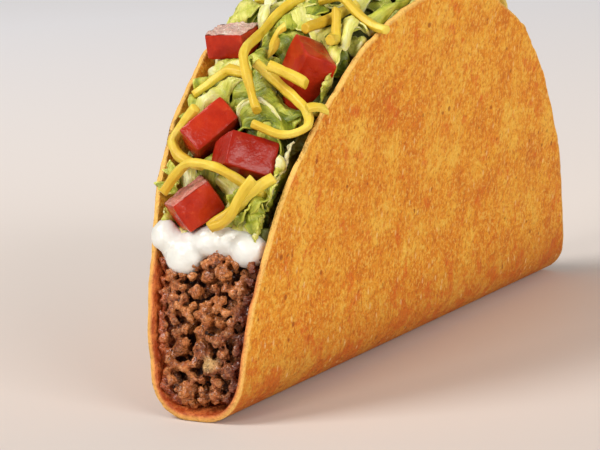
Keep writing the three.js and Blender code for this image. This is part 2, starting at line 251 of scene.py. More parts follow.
# %% [markdown]
# ## Working on meshes
#
# Three habits keep operators safe: deselect everything before adding or changing a piece, work on
# one active object, and put the finished shape into the mesh so that the object itself stays at the
# origin.

# %% Mesh helpers
def only(piece):
    """Makes one object the active one and the only one selected."""
    bpy.ops.object.select_all(action="DESELECT")
    piece.select_set(True)
    bpy.context.view_layer.objects.active = piece
    return piece


def settle(piece):
    """Puts the object's place, turn and size into its mesh."""
    only(piece)
    bpy.ops.object.transform_apply(location=True, rotation=True, scale=True)
    return piece


def apply_modifier(piece, kind, **settings):
    only(piece)
    modifier = piece.modifiers.new(kind.lower(), kind)
    for key, value in settings.items():
        setattr(modifier, key, value)
    bpy.ops.object.modifier_apply(modifier=modifier.name)
    return piece


def copy_of_node(node, name):
    """A merged copy of a solid of the frame, free to be shaped."""
    piece = nodes[node].copy()
    piece.data = nodes[node].data.copy()
    piece.name = piece.data.name = name
    for key in list(piece.keys()):
        del piece[key]
    piece.parent = None
    piece.data.materials.clear()
    bpy.context.scene.collection.objects.link(piece)
    piece.hide_viewport = piece.hide_render = False
    piece.hide_set(False)
    only(piece)
    bpy.ops.object.mode_set(mode="EDIT")
    bpy.ops.mesh.select_all(action="SELECT")
    bpy.ops.mesh.remove_doubles(threshold=1e-6)
    bpy.ops.mesh.normals_make_consistent(inside=False)
    bpy.ops.object.mode_set(mode="OBJECT")
    return piece


def joined(parts, name):
    bpy.ops.object.select_all(action="DESELECT")
    for part in parts:
        part.select_set(True)
    bpy.context.view_layer.objects.active = parts[0]
    bpy.ops.object.join()
    parts[0].name = parts[0].data.name = name
    return parts[0]


def points_of(piece):
    flat = np.empty(len(piece.data.vertices) * 3)
    piece.data.vertices.foreach_get("co", flat)
    return flat.reshape(-1, 3)


def put_points(piece, points):
    piece.data.vertices.foreach_set("co", np.asarray(points, float).ravel())
    piece.data.update()


def normals_of(piece):
    flat = np.empty(len(piece.data.vertices) * 3)
    piece.data.vertices.foreach_get("normal", flat)
    return flat.reshape(-1, 3)


def grain(points, size, octaves=3, offset=(0, 0, 0)):
    """Smooth noise between -1 and 1 at each point, with features of the given size."""
    shift = Vector(offset)
    at = points / size
    return np.array([noise.fractal(Vector(p) + shift, 0.9, 2.1, octaves) for p in at])


def push_out(piece, amount):
    """Moves every vertex along its normal by its own amount."""
    put_points(piece, points_of(piece) + normals_of(piece) * np.asarray(amount)[:, None])


def keep_value(piece, name, values):
    """Stores one number per vertex, which a material can read by name."""
    attribute = piece.data.attributes.new(name, "FLOAT", "POINT")
    attribute.data.foreach_set("value", np.asarray(values, np.float32))


def smooth(piece):
    only(piece)
    bpy.ops.object.shade_smooth()


def finish(piece, recipe, slot, *stands_for):
    """Gives a piece its material, its body and the solids that it stands for; slot is not used."""
    piece.data.materials.clear()
    piece.data.materials.append(recipe.material)
    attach(piece, "root")
    if stands_for:
        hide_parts(*stands_for)
    faces = sum(len(p.vertices) - 2 for p in piece.data.polygons)
    low, high = points_of(piece).min(0) / MM, points_of(piece).max(0) / MM
    print(f"{piece.name}: {faces} triangles, from {low.round(1)} to {high.round(1)} mm")


# %% [markdown]
# ## The floor
#
# A pale table, far larger than the view, so that no horizon shows. Towards the camera it is painted
# darker and warmer, as painted shade, and far off it is lighter.

# %% Floor
FLOOR_SIZE = 12
FLOOR_HEIGHT = -0.0002  # a hair below the taco, so that the two never fight for one plane
bpy.ops.object.select_all(action="DESELECT")
bpy.ops.mesh.primitive_plane_add(size=FLOOR_SIZE, location=(0, 0, FLOOR_HEIGHT))
floor = settle(bpy.context.active_object)
floor.name = "floor"
table = Recipe("pale_table")
towards_far = table.node("ShaderNodeVectorMath", {"operation": "DOT_PRODUCT"},
                         {0: table.place, 1: (0.85, 0.53, 0.0)}, "Value")
# painted shade: the table's colour darkens towards the camera
table.feed("Base Color", table.ramp(towards_far + 0.1, [
    (0.00, (0.66, 0.58, 0.53)),
    (0.23, (0.82, 0.73, 0.67)),
    (1.00, (0.88, 0.86, 0.88)),
]))
table.set(Roughness=0.7)
floor.data.materials.append(table.material)
floor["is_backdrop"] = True

# %% [markdown]
# ## The fried shell
#
# A hard shell is a round maize tortilla, folded over a former and fried. We make it the same way: a
# flat grid stands for the dough, its square is eased into a disc, and the disc is folded round the
# bend. Solidify then gives the wall its thickness. The rim of a real shell is never even, so the
# disc's edge is pushed in and out a little first, and the walls are left slightly wavy. The bend is
# a touch rounder than the frame's.

# %% Fold of the shell
FOLD = 150 * MM
HALF_FOLD = FOLD / 2
WALL_RISE = 84.5 * MM
WALL = 1.9 * MM
FLAT = 2.3 * MM  # half the width of the flat under the fold
BEND = 8.6 * MM  # outer radius of the bend beside it
WALL_ANGLE = radians(84.6)
WALL_BOW = 0.8  # times the distance up the wall squared, in metres
BEND_RUN = FLAT + BEND * WALL_ANGLE


def wall_section(along, inset=0.0):
    """Across and up for a distance along the tortilla from the middle of the fold.

    The section is a short flat, then a bend, then a wall that leans and bows outwards.
    """
    side = np.sign(along)
    s = np.abs(along)
    turned = np.clip((s - FLAT) / BEND, 0, WALL_ANGLE)
    up = np.maximum(s - BEND_RUN, 0)
    y = np.minimum(s, FLAT) + BEND * np.sin(turned) + up * cos(WALL_ANGLE) + WALL_BOW * up**2
    z = BEND * (1 - np.cos(turned)) + up * sin(WALL_ANGLE)
    slope = np.arctan2(np.sin(turned), np.cos(turned) + 2 * WALL_BOW * up)
    return side * (y - inset * np.sin(slope)), z + inset * np.cos(slope)


def along_at_height(height, inset=0.0):
    """The distance along the tortilla where its inset section reaches a height."""
    steps = np.linspace(0, 2 * WALL_RISE, 2000)
    return np.interp(height, wall_section(steps, inset)[1], steps)


def inner_half_width(height, gap=0.0):
    inset = WALL + gap
    return wall_section(along_at_height(height, inset), inset)[0]


EDGE_TURNS = np.linspace(0.001, pi - 0.001, 1500)
EDGE_X = HALF_FOLD * np.cos(EDGE_TURNS)
EDGE_Z = wall_section(WALL_RISE * np.sin(EDGE_TURNS))[1]
EDGE_ANGLES = np.arctan2(EDGE_Z, EDGE_X)
EDGE_REACHES = np.hypot(EDGE_X, EDGE_Z)


def edge_reach(angle):
    """How far the shell's edge is from the middle of the fold, at an angle round it."""
    return np.interp(angle, EDGE_ANGLES, EDGE_REACHES)


def spot(angle, reach, y):
    """A place over the taco: angle round the fold from the -X end, reach from it, y across."""
    return np.array([-reach * np.cos(angle), y, reach * np.sin(angle)])


print("edge above the middle:", round(float(edge_reach(pi / 2)) / MM, 1), "mm")

# %% Shell from a flat grid
DOUGH_CELLS = (184, 206)
bpy.ops.object.select_all(action="DESELECT")
bpy.ops.mesh.primitive_grid_add(
    x_subdivisions=DOUGH_CELLS[0], y_subdivisions=DOUGH_CELLS[1], size=2
)
shell = bpy.context.active_object
shell.name = shell.data.name = "fried_shell"
square = points_of(shell)[:, :2]
disc = np.stack([
    square[:, 0] * np.sqrt(1 - square[:, 1] ** 2 / 2),
    square[:, 1] * np.sqrt(1 - square[:, 0] ** 2 / 2),
], 1)

bearing = np.arctan2(disc[:, 1], disc[:, 0])
radius = np.hypot(disc[:, 0], disc[:, 1])
round_dough = np.stack([np.cos(bearing), np.sin(bearing), np.zeros(len(bearing))], 1)
edge_wander = grain(round_dough, 0.22, 2) * 0.75 * MM + grain(round_dough, 0.06, 2) * 0.3 * MM
near_edge = np.clip((radius - 0.72) / 0.28, 0, 1) ** 2
flat_x = disc[:, 0] * HALF_FOLD + edge_wander * near_edge * np.cos(bearing)
flat_s = disc[:, 1] * WALL_RISE + edge_wander * near_edge * np.sin(bearing)

across, height = wall_section(flat_s)
on_wall = np.clip((np.abs(flat_s) - BEND_RUN) / (30 * MM), 0, 1)
dough = np.stack([flat_x, flat_s, np.sign(flat_s) * 0.05], 1)
across = across + on_wall * grain(dough, 0.034, 2) * 0.7 * MM
put_points(shell, np.stack([flat_x, across, height], 1))

only(shell)
bpy.ops.object.mode_set(mode="EDIT")
bpy.ops.mesh.select_all(action="SELECT")
bpy.ops.mesh.normals_make_consistent(inside=False)
bpy.ops.object.mode_set(mode="OBJECT")
underside = [p.normal.z for p in shell.data.polygons if p.center.z < 0.5 * MM]
if sum(underside) > 0:
    bpy.ops.object.mode_set(mode="EDIT")
    bpy.ops.mesh.flip_normals()
    bpy.ops.object.mode_set(mode="OBJECT")
apply_modifier(shell, "SOLIDIFY", thickness=WALL, offset=-1, use_even_offset=True)
print("shell:", len(shell.data.vertices), "vertices")

# %% [markdown]
# Frying leaves the surface finely blistered: low swellings a few millimetres wide, small pits where
# bubbles burst, and a fine grit of coarse meal. The swellings and pits are moved into the mesh here;
# the grit is left to the material. The flat under the fold stays as it is, so that the taco still
# stands where the frame puts it. The wall also thins out towards its cut edge.

# %% Blisters
RIM_THINNING = 0.40
shell_points = points_of(shell)
outer, inner = np.split(shell_points, 2)
near_rim = np.clip((radius - 0.93) / 0.07, 0, 1)
inner += (outer - inner) * RIM_THINNING * near_rim[:, None]
put_points(shell, shell_points)
clear_of_table = np.clip((shell_points[:, 2] - 0.6 * MM) / (3 * MM), 0, 1)
swell = grain(shell_points * np.array([1, 1, 0.6]), 0.0055, 3) * 0.13 * MM
pits = grain(shell_points * np.array([1, 1, 0.55]), 0.0019, 2, (7, 3, 1))
pits = -np.clip(pits - 0.25, 0, 1) * 0.30 * MM
push_out(shell, (swell + pits) * clear_of_table)
smooth(shell)

# %% Fried tortilla finish
cut = np.clip((radius - 0.997) / 0.002, 0, 1)
keep_value(shell, "inside", np.concatenate([np.zeros(len(outer)), np.ones(len(inner))]))
keep_value(shell, "rim", np.concatenate([cut, cut]))

crust = Recipe("fried_tortilla")
upright = crust.stretched((1.0, 1.0, 0.88))
grit = crust.noise(1350, 2.0, 0.7, upright)
grains = crust.noise(520, 4.0, 0.65, upright)
patches = crust.noise(85, 4.0, 0.6)
dust = crust.noise(140, 6.0, 0.72)
pores = crust.cells(260) + crust.steps(crust.noise(150), 0.40, 0.55) * 0.2
flecks = crust.cells(420, crust.stretched((1.0, 1.0, 0.45)))
height_up = crust.node("ShaderNodeSeparateXYZ", {}, {0: crust.place}, "Z")
# low_down marks the shell near the table: it carries painted shade and a little more dusting
low_down = 1 - crust.steps(height_up, 0.001, 0.019)

golden = crust.ramp(grains * 0.45 + patches * 0.55, [
    (0.38, (0.66, 0.190, 0.014)),
    (0.46, (0.77, 0.270, 0.019)),
    (0.53, (0.83, 0.350, 0.030)),
    (0.61, (0.88, 0.460, 0.055)),
])
golden = crust.mix(crust.steps(grit, 0.52, 0.64) * 0.50, golden, (0.94, 0.60, 0.13))
golden = crust.mix((1 - crust.steps(grit, 0.34, 0.47)) * 0.52, golden, (0.50, 0.130, 0.012))
dusting = crust.steps(dust + low_down * 0.07, 0.545, 0.66) * 0.66
golden = crust.mix(dusting, golden, (0.68, 0.115, 0.012))
# painted shade: the shell darkens towards the bottom, where the bend turns away from the light
golden = crust.mix(low_down * 0.55, golden, (0.38, 0.085, 0.010))
golden = crust.mix((1 - crust.steps(pores, 0.10, 0.20)) * 0.65, golden, (0.27, 0.055, 0.008))
golden = crust.mix((1 - crust.steps(flecks, 0.08, 0.17)) * 0.45, golden, (0.98, 0.68, 0.30))
golden = crust.mix(crust.attribute("rim") * 0.78, golden, (0.92, 0.56, 0.150))
stain_edge = crust.noise(110, 4.0, 0.6)
filled = 1 - crust.steps(height_up + stain_edge * 0.012, 0.034, 0.042)
filled = filled * crust.attribute("inside")
sauce = crust.mix(crust.steps(grains, 0.42, 0.60), (0.36, 0.045, 0.010), (0.62, 0.150, 0.040))
golden = crust.mix(filled * 0.92, golden, sauce)
crust.feed("Base Color", golden)
crust.feed("Roughness", 0.62 + grit * 0.2 - filled * 0.35)
crust.set(Specular_IOR_Level=0.2)
crust.bumps((grains, 0.0009), (grit, 0.0004))
finish(shell, crust, "tortilla", "shell")

# %% [markdown]
# ## Sour cream
#
# The cream is one soft mass. The solid of the frame already has its layer and its hanging lobes, but
# they meet in sharp creases. A voxel remesh turns them into one even skin, and a Smooth modifier
# melts the creases, as the weight of real cream does. Smoothing shrinks a shape, so the skin is
# pushed out again, with the folds and small dimples left by the spoon.

# %% Sour cream
cream = copy_of_node("sour_cream", "sour_cream_layer")
apply_modifier(cream, "REMESH", mode="VOXEL", voxel_size=0.5 * MM)
apply_modifier(cream, "SMOOTH", factor=0.6, iterations=9)
cream_points = points_of(cream)
folds = 0.30 - np.abs(grain(cream_points * np.array([1, 0.8, 1.3]), 0.0075, 2)) * 1.5
dimples = grain(cream_points, 0.0024, 2, (3, 1, 4))
push_out(cream, (0.30 + folds * 0.38 + dimples * 0.10) * MM)
apply_modifier(cream, "SMOOTH", factor=0.5, iterations=3)
smooth(cream)

white = Recipe("sour_cream")
curds = white.noise(260, 3.0, 0.5)
white.feed("Base Color", white.ramp(curds, [
    (0.35, (0.69, 0.68, 0.62)),
    (0.65, (0.77, 0.765, 0.72)),
]))
white.feed("Roughness", 0.20 + curds * 0.22)
white.set(Subsurface_Weight=0.30, Subsurface_Radius=(0.003, 0.0026, 0.002), Subsurface_Scale=0.6)
white.set(Coat_Roughness=0.12, Coat_Weight=0.35)
white.bumps((white.noise(700, 3.0, 0.5), 0.0002))
finish(cream, white, "sour_cream", "sour_cream")

# %% [markdown]
# ## Minced beef
#
# Mince is a crowd of small fused lumps with dark gaps between them. Each crumb is a ball that has
# grown smaller balls all over its skin. The crumbs are packed into the two open ends of the shell,
# in layers that go deeper in, and a voxel remesh fuses whatever touches. A plain core, painted
# almost black as shade, stands behind the crumbs and closes the gaps.

# %% Packing the crumbs
BEEF_TOP = 31.0 * MM
CRUMB_LAYERS = [(0.1, 3600, 0.91), (2.6, 2000, 0.88), (5.4, 1000, 0.82)]  # mm in, tries, spacing
LINING_CRUMBS = 230
CRUMB_VOXEL = 0.32 * MM
PEBBLE = 0.95 * MM
luck = np.random.default_rng(41)


def mouth_x(height):
    """How far along the fold the shell's edge stands at a height."""
    share = along_at_height(height) / WALL_RISE
    return HALF_FOLD * np.sqrt(np.maximum(1 - share**2, 0))


def packed_mouth(end):
    """Balls of crumb at one open end: rows of x, y, z and radius."""
    balls = np.empty((0, 4))
    for behind, tries, spacing in CRUMB_LAYERS:
        for _ in range(tries):
            size = (0.9 + 1.6 * luck.random() ** 1.3) * MM
            z = luck.uniform(WALL + size * 0.7, BEEF_TOP)
            room = inner_half_width(z, size * 0.45)
            y = luck.uniform(-room, room)
            x = end * (mouth_x(z) - behind * MM - size * 0.75 - luck.uniform(0, 1.3) * MM)
            gaps = np.linalg.norm(balls[:, :3] - (x, y, z), axis=1)
            if np.all(gaps > spacing * (balls[:, 3] + size)):
                balls = np.vstack([balls, (x, y, z, size)])
    return np.vstack([balls, lining(end)])


def lining(end):
    """Small crumbs that stick to the inside of both walls, right up to the shell's edge."""
    balls = []
    for _ in range(LINING_CRUMBS):
        size = luck.uniform(0.55, 1.0) * MM
        z = luck.uniform(WALL + size, BEEF_TOP)
        side = luck.choice((-1, 1))
        y = side * inner_half_width(z, size * 0.3)
        behind = (luck.uniform(0.1, 4.5) + (1.6 if side < 0 else 0)) * MM
        balls.append((end * (mouth_x(z) - behind - size), y, z, size))
    return np.array(balls)


# %% Growing and fusing the crumbs
bpy.ops.object.select_all(action="DESELECT")
bpy.ops.mesh.primitive_ico_sphere_add(subdivisions=2, radius=1)
seed_ball = bpy.context.active_object
ball_points = points_of(seed_ball)
ball_faces = np.array([tuple(p.vertices) for p in seed_ball.data.polygons])
bpy.ops.object.delete()


def grown(ball):
    """One crumb: a squashed ball with nodules on its skin, and grains on top of those."""
    centre, size = ball[:3], ball[3]
    balls = [ball_points * size * 0.80 * luck.uniform(0.85, 1.15, 3)]
    nodules = (luck.integers(7, 12), 0.72, 0.28, 0.46)
    grains_on_top = (16, 0.95, 0.12, 0.22)
    for count, out, small, large in (nodules, grains_on_top):
        for _ in range(count):
            away = luck.normal(size=3)
            away *= size * out / np.linalg.norm(away)
            balls.append(away + ball_points * size * luck.uniform(small, large))
    return centre + np.concatenate(balls)


def crumb_heap(end, name):
    balls = packed_mouth(end)
    points = np.concatenate([grown(ball) for ball in balls])
    starts = np.arange(len(points) // len(ball_points)) * len(ball_points)
    faces = (ball_faces[None] + starts[:, None, None]).reshape(-1, 3)
    mesh = bpy.data.meshes.new(name)
    mesh.from_pydata(points.tolist(), [], faces.tolist())
    heap = bpy.data.objects.new(name, mesh)
    bpy.context.scene.collection.objects.link(heap)
    apply_modifier(heap, "REMESH", mode="VOXEL", voxel_size=CRUMB_VOXEL)
    apply_modifier(heap, "SMOOTH", factor=0.5, iterations=1)
    at = points_of(heap)
    pebbles = np.array([0.5 - noise.voronoi(Vector(p))[0][0] for p in at / PEBBLE])
    push_out(heap, pebbles * 0.55 * MM + grain(at, 0.0034, 2) * 0.22 * MM)
    print(name, "from", len(balls), "crumbs")
    return heap


mince_heaps = [crumb_heap(-1, "beef_crumbs_front"), crumb_heap(1, "beef_crumbs_back")]

# %% [markdown]
# The lumps of the meat are painted lighter, as painted highlight, and its hollows darker, as painted
# shade. To let the material know which is which, the mesh is compared with a smoothed copy of
# itself:
# where the smoothed skin lies outside, there is a hollow. Deeper inside the open ends the meat is
# painted darker still, painted shade with the dark of sauce. Red grease gathers along the walls of
# the shell, and along the near wall, where little light comes in, the meat is painted darkest, as
# painted shade.

# %% Hollows, grease and one pale scrap
SCRAP = np.array([-73.2, -2.4, 11.2]) * MM
SCRAP_SIZE = np.array([3.0, 1.9, 1.3]) * MM


def mark_meat(heap):
    smoothed = heap.copy()
    smoothed.data = heap.data.copy()
    bpy.context.scene.collection.objects.link(smoothed)
    apply_modifier(smoothed, "SMOOTH", factor=0.9, iterations=20)
    at, out = points_of(heap), normals_of(heap)
    hollow = ((points_of(smoothed) - at) * out).sum(1) / (0.6 * MM)
    bpy.data.objects.remove(smoothed)
    keep_value(heap, "hollow", np.clip(hollow, -1, 1))
    behind = mouth_x(at[:, 2]) - np.abs(at[:, 0])
    keep_value(heap, "deep", np.clip((behind - 2.2 * MM) / (5 * MM), 0, 1))
    to_wall = inner_half_width(at[:, 2]) - np.abs(at[:, 1])
    keep_value(heap, "by_wall", np.clip(1 - to_wall / (3.6 * MM), 0, 1))
    # marks the meat along the near wall for painted shade
    near_side = at[:, 1] < 0
    keep_value(heap, "near_wall_shade", np.clip(1.2 - to_wall / (3.0 * MM), 0, 1) * near_side)
    from_scrap = np.linalg.norm((at - SCRAP) / SCRAP_SIZE, axis=1)
    keep_value(heap, "pale", np.clip(1.5 - from_scrap, 0, 1))
    smooth(heap)


meat = Recipe("minced_beef")
hollows = meat.attribute("hollow")
lump_tone = meat.noise(270, 3.0, 0.65)
fibre = meat.noise(1300, 4.0, 0.65)
browned = meat.ramp(lump_tone, [
    (0.34, (0.195, 0.042, 0.011)),
    (0.45, (0.370, 0.090, 0.022)),
    (0.54, (0.550, 0.155, 0.038)),
    (0.64, (0.800, 0.300, 0.090)),
])
browned = meat.mix(meat.steps(fibre, 0.45, 0.70) * 0.45, browned, (0.82, 0.34, 0.105))
# painted highlight: the lumps are lighter
browned = meat.mix((1 - meat.steps(hollows, -0.9, -0.2)) * 0.50, browned, (0.92, 0.42, 0.150))
# painted shade: the hollows are darker
browned = meat.mix(meat.steps(hollows, -0.05, 0.5) * 0.90, browned, (0.060, 0.013, 0.006))
# painted shade, with the dark of sauce: the meat deeper inside the open end is darker
browned = meat.mix(meat.attribute("deep") * 0.85, browned, (0.030, 0.008, 0.004))
juicy = meat.steps(meat.noise(125, 3.0, 0.5), 0.54, 0.64)
browned = meat.mix(juicy * 0.50, browned, (0.60, 0.185, 0.036))
red_grease = meat.steps(meat.attribute("by_wall") + meat.noise(170, 3.0, 0.5) * 0.9, 0.80, 1.30)
browned = meat.mix(red_grease * 0.70, browned, (0.46, 0.075, 0.018))
# painted shade: the meat along the near wall is darker
browned = meat.mix(meat.attribute("near_wall_shade") * 0.75, browned, (0.085, 0.016, 0.009))
browned = meat.mix(meat.attribute("pale") * 0.85, browned, (0.72, 0.45, 0.17))
meat.feed("Base Color", browned)
meat.feed("Roughness", 0.44 - red_grease * 0.20 - juicy * 0.16 + fibre * 0.12)
meat.set(Coat_Weight=0.45, Coat_Roughness=0.11, Specular_IOR_Level=0.32)
meat.bumps((meat.cells(1500), -0.0009), (fibre, 0.0007))
for heap in mince_heaps:
    mark_meat(heap)
    finish(heap, meat, "beef", "beef")

# %% Core of the beef
CORE_LENGTH, CORE_WIDTH = 0.925, 0.97
beef_core = copy_of_node("beef", "beef_core")
core_points = points_of(beef_core)
core_points[:, 0] *= CORE_LENGTH
core_points[:, 1] *= CORE_WIDTH
put_points(beef_core, core_points)
beef_shade = Recipe("dark_beef_shade")
beef_shade_tone = beef_shade.noise(300)
# painted shade: the core is almost black
beef_shade.feed("Base Color", beef_shade.mix(beef_shade_tone, (0.030, 0.009, 0.005), (0.09, 0.024, 0.010)))
beef_shade.set(Roughness=0.4)
beef_shade.bumps((beef_shade.noise(500), 0.0008))
finish(beef_core, beef_shade, "beef")

# %% [markdown]
# ## Diced tomato
#
# A dice is cut from the wall of the fruit: flat wet cuts, crisp but not knife-sharp edges, and on
# some sides the pulp of the chambers. The frame's dice are merged copies here. Their triangles are
# turned to quads, their sharp edges get a crease, and three subdivisions then keep the flats flat
# while the creased edges round off a little. Two of the dice show a side of pulp, and one is turned
# a little about the line of sight.

# %% Crisp subdivision
def subdivided(piece, crease, levels):
    """Subdivides a piece, holding its sharp edges with a crease between 0 and 1."""
    only(piece)
    bpy.ops.object.mode_set(mode="EDIT")
    bpy.ops.mesh.select_mode(type="EDGE")
    bpy.ops.mesh.select_all(action="SELECT")
    bpy.ops.mesh.tris_convert_to_quads(face_threshold=0.8, shape_threshold=0.8)
    bpy.ops.mesh.select_all(action="DESELECT")
    bpy.ops.mesh.edges_select_sharp(sharpness=radians(35))
    bpy.ops.transform.edge_crease(value=crease)
    bpy.ops.mesh.select_mode(type="VERT")
    bpy.ops.object.mode_set(mode="OBJECT")
    return apply_modifier(piece, "SUBSURF", levels=levels, render_levels=levels)


# %% Tomato finish
flesh = Recipe("tomato_flesh")
pulp = flesh.attribute("pulp")
mottle = flesh.noise(210, 4.0, 0.6)
red = flesh.ramp(mottle, [
    (0.32, (0.330, 0.014, 0.004)),
    (0.52, (0.460, 0.026, 0.006)),
    (0.72, (0.570, 0.048, 0.010)),
])
# random ripeness on each die, and painted shade that darkens one die all over
red = flesh.mix(flesh.attribute("ripeness_and_shade"), red, (0.290, 0.012, 0.005))
threads = flesh.noise(420, 5.0, 0.7)
red = flesh.mix(flesh.steps(threads, 0.60, 0.75) * 0.22, red, (0.80, 0.20, 0.07))
swirls = flesh.noise(230, 2.0, 0.5, flesh.stretched((1, 1, 2.2)))
swirls = 1 - flesh.steps(abs(swirls - 0.5), 0.008, 0.055)
red = flesh.mix(pulp * 0.66 + pulp * swirls * 0.32, red, (0.97, 0.73, 0.60))
flesh.feed("Base Color", red)
flesh.feed("Roughness", 0.12 + mottle * 0.20)
flesh.set(Subsurface_Weight=0.08, Subsurface_Scale=0.4, Specular_IOR_Level=0.22)
flesh.set(Subsurface_Radius=(0.003, 0.0008, 0.0005))
flesh.bumps((mottle, 0.0002), (threads, 0.00012), (pulp * threads, 0.0020))

# %% Tomato dice
PULP_SIDES = {  # the way the side faces, and how strongly the pulp shows
    "tomato_01": (-0.35, -0.2, 0.92, 1.0),
    "tomato_05": (-0.62, 0.20, 0.75, 0.35),
}
# painted shade: this die is painted darker all over
SHADED_DIE = "tomato_04"
TURNED = {"tomato_02": -20}  # degrees about the line of sight
dice = []
for name in sorted(n for n in nodes if n.startswith("tomato")):
    die = subdivided(copy_of_node(name, name + "_flesh"), 0.72, 3)
    middle = points_of(die).mean(0)
    turn = np.array(Matrix.Rotation(radians(TURNED.get(name, 0)), 3, -SIGHT))
    put_points(die, (points_of(die) - middle) @ turn.T + middle)
    at, out = points_of(die), normals_of(die)
    *side, strength = PULP_SIDES.get(name, (0, 0, 1, 0))
    share = np.clip((out @ np.array(side) / np.linalg.norm(side) - 0.7) / 0.2, 0, 1)
    keep_value(die, "pulp", share * strength)
    keep_value(die, "ripeness_and_shade", np.full(len(at), 0.8 if name == SHADED_DIE else luck.uniform(0, 0.3)))
    uneven = grain(at, 0.0045, 2) * 0.26 * MM + grain(at, 0.0013, 2) * 0.04 * MM
    raised = share * (strength > 0) * grain(at, 0.0013, 3, (5, 5, 5)) * 0.45 * MM
    push_out(die, uneven + raised)
    smooth(die)
    finish(die, flesh, "tomato", name)
    dice.append(die)

# %% [markdown]
# ## Shredded cheese
#
# A shred falls from the grater with flat sides and soft corners. The frame's shreds have the right
# routes and a six-sided section. Half-strong creases let the subdivision round the corners but keep
# the flats, and a little noise takes off the evenness of a machine-made rod. Three shreds at the
# open end would hang free of the heap; they slide back along the line of sight, which the camera
# can't tell, until something is in their way.

# %% Cheese finish
wax = Recipe("cheese")
tone = wax.noise(150, 3.0, 0.5)
fine = wax.noise(1500, 3.0, 0.6)
wax.feed("Base Color", wax.ramp(tone, [
    (0.35, (0.61, 0.39, 0.022)),
    (0.52, (0.70, 0.49, 0.034)),
    (0.68, (0.78, 0.60, 0.080)),
]))
wax.feed("Roughness", 0.38 + fine * 0.16)
wax.set(Subsurface_Weight=0.20, Subsurface_Radius=(0.003, 0.002, 0.0006), Subsurface_Scale=0.5)
wax.bumps((tone, 0.0004), (fine, 0.00012))

# %% Cheese shreds
SLIMMER = 0.17
shreds = []
for name in sorted(n for n in nodes if n.startswith("cheese")):
    shred = subdivided(copy_of_node(name, name + "_shred"), 0.45, 2)
    at = points_of(shred)
    uneven = grain(at, 0.0042, 2) * 0.24 + grain(at, 0.0011, 2) * 0.04
    push_out(shred, (uneven - SLIMMER) * MM)
    smooth(shred)
    finish(shred, wax, "cheese", name)
    shreds.append(shred)

# %% Settling the loose shreds
LOOSE = ("cheese_09_shred", "cheese_10_shred", "cheese_11_shred")
FURTHEST_SLIDE = 2.6 * MM
AIR = 0.5 * MM


def tree_of(pieces):
    """One search tree over the meshes of several pieces."""
    at, faces = [], []
    for piece in pieces:
        start = len(at)
        at.extend(v.co.copy() for v in piece.data.vertices)
        faces.extend([start + i for i in p.vertices] for p in piece.data.polygons)
    return BVHTree.FromPolygons(at, faces)


for shred in [piece for piece in shreds if piece.name in LOOSE]:
    others = tree_of([piece for piece in (*dice, *shreds, shell, cream) if piece is not shred])
    at = points_of(shred)
    hits = [others.ray_cast(Vector(p), SIGHT, FURTHEST_SLIDE + AIR)[3] for p in at]
    free = min([hit for hit in hits if hit is not None], default=FURTHEST_SLIDE + AIR)
    slide = max(0.0, free - AIR)
    put_points(shred, at + np.array(SIGHT) * slide)
    print(shred.name, "slides", round(slide / MM, 2), "mm")

# %% [markdown]
# ## Shredded lettuce
#
# Under the other toppings lies a heap of cut leaves. Each shred is a thin strip: a small flat grid
# that is laid over the heap along a curved route, arched across its width, rolled to one side and
# ruffled at its edges. Where a dice or a shred of cheese lies on top, the strip is pressed down
# below it. Some strips are placed one by one, where they catch the eye; most are scattered, and a
# few more fill the room under shreds of cheese that would hang free.

# %% The heap's surface
HEAP_SINK = 2.2  # mm below the shell's edge, near the ends
HEAP_RISE = 6.7  # mm gained from there to the top


def swells(x, y, size, height):
    k = 2 * pi / size
    a = np.sin(k * x + 1.7 * np.sin(0.61 * k * y))
    b = np.sin(0.83 * k * y + 1.3 * np.cos(0.47 * k * x) + 0.9)
    c = np.cos(1.71 * k * x - 1.37 * k * y + 0.4)
    return height * (a * b + 0.5 * c) / 1.5


def heap_reach(angle, y):
    """How far the lettuce reaches at an angle round the fold, and y across."""
    edge = edge_reach(angle)
    half = inner_half_width(edge * np.sin(angle))
    across = 1 - 0.75 * np.minimum(1, np.abs(y) / half) ** 2
    waves = swells(78 * angle, y / MM, 15, 1.3) * MM
    return edge + (-HEAP_SINK + HEAP_RISE * np.abs(np.sin(angle)) ** 2.5 * across) * MM + waves


# %% What lies on the leaves
OUTSIDE = 0.12  # a reach beyond everything, where the search for dice and shreds starts
NOTHING_THERE = 0.2
HIDES_WITHIN = 14 * MM
STEP_DOWN = 1.1 * MM
dice_tree = tree_of(dice)
shred_tree = tree_of(shreds)


def reach_of(tree, angle, y):
    """The reach at which a line towards the fold first meets the tree, or a far one."""
    far = Vector(spot(angle, OUTSIDE, y))
    hit = tree.ray_cast(far, Vector(spot(angle, -1, 0)))
    return OUTSIDE - hit[3] if hit[0] is not None else NOTHING_THERE


def clear_of_view(angle, reach, y):
    """Lowers a point of a leaf until it no longer hides a dice or shred right behind it."""
    for _ in range(5):
        point = Vector(spot(angle, reach, y))
        sight = (point - EYE).normalized()
        start = point + sight * 0.4 * MM
        trees = (dice_tree, shred_tree)
        if all(tree.ray_cast(start, sight, HIDES_WITHIN)[0] is None for tree in trees):
            break
        reach -= STEP_DOWN
    return reach


# %% The route of a strip
STRIP_CELLS = (26, 9)
TURN = 0.078  # the reach at which a change of angle is counted as a distance


def flat_strip():
    """A flat grid, with the place of each point along it (0 to 1) and across it (-1 to 1)."""
    bpy.ops.object.select_all(action="DESELECT")
    bpy.ops.mesh.primitive_grid_add(
        x_subdivisions=STRIP_CELLS[0], y_subdivisions=STRIP_CELLS[1], size=2
    )
    strip = bpy.context.active_object
    flat = points_of(strip)
    return strip, (flat[:, 0] + 1) / 2, flat[:, 1]


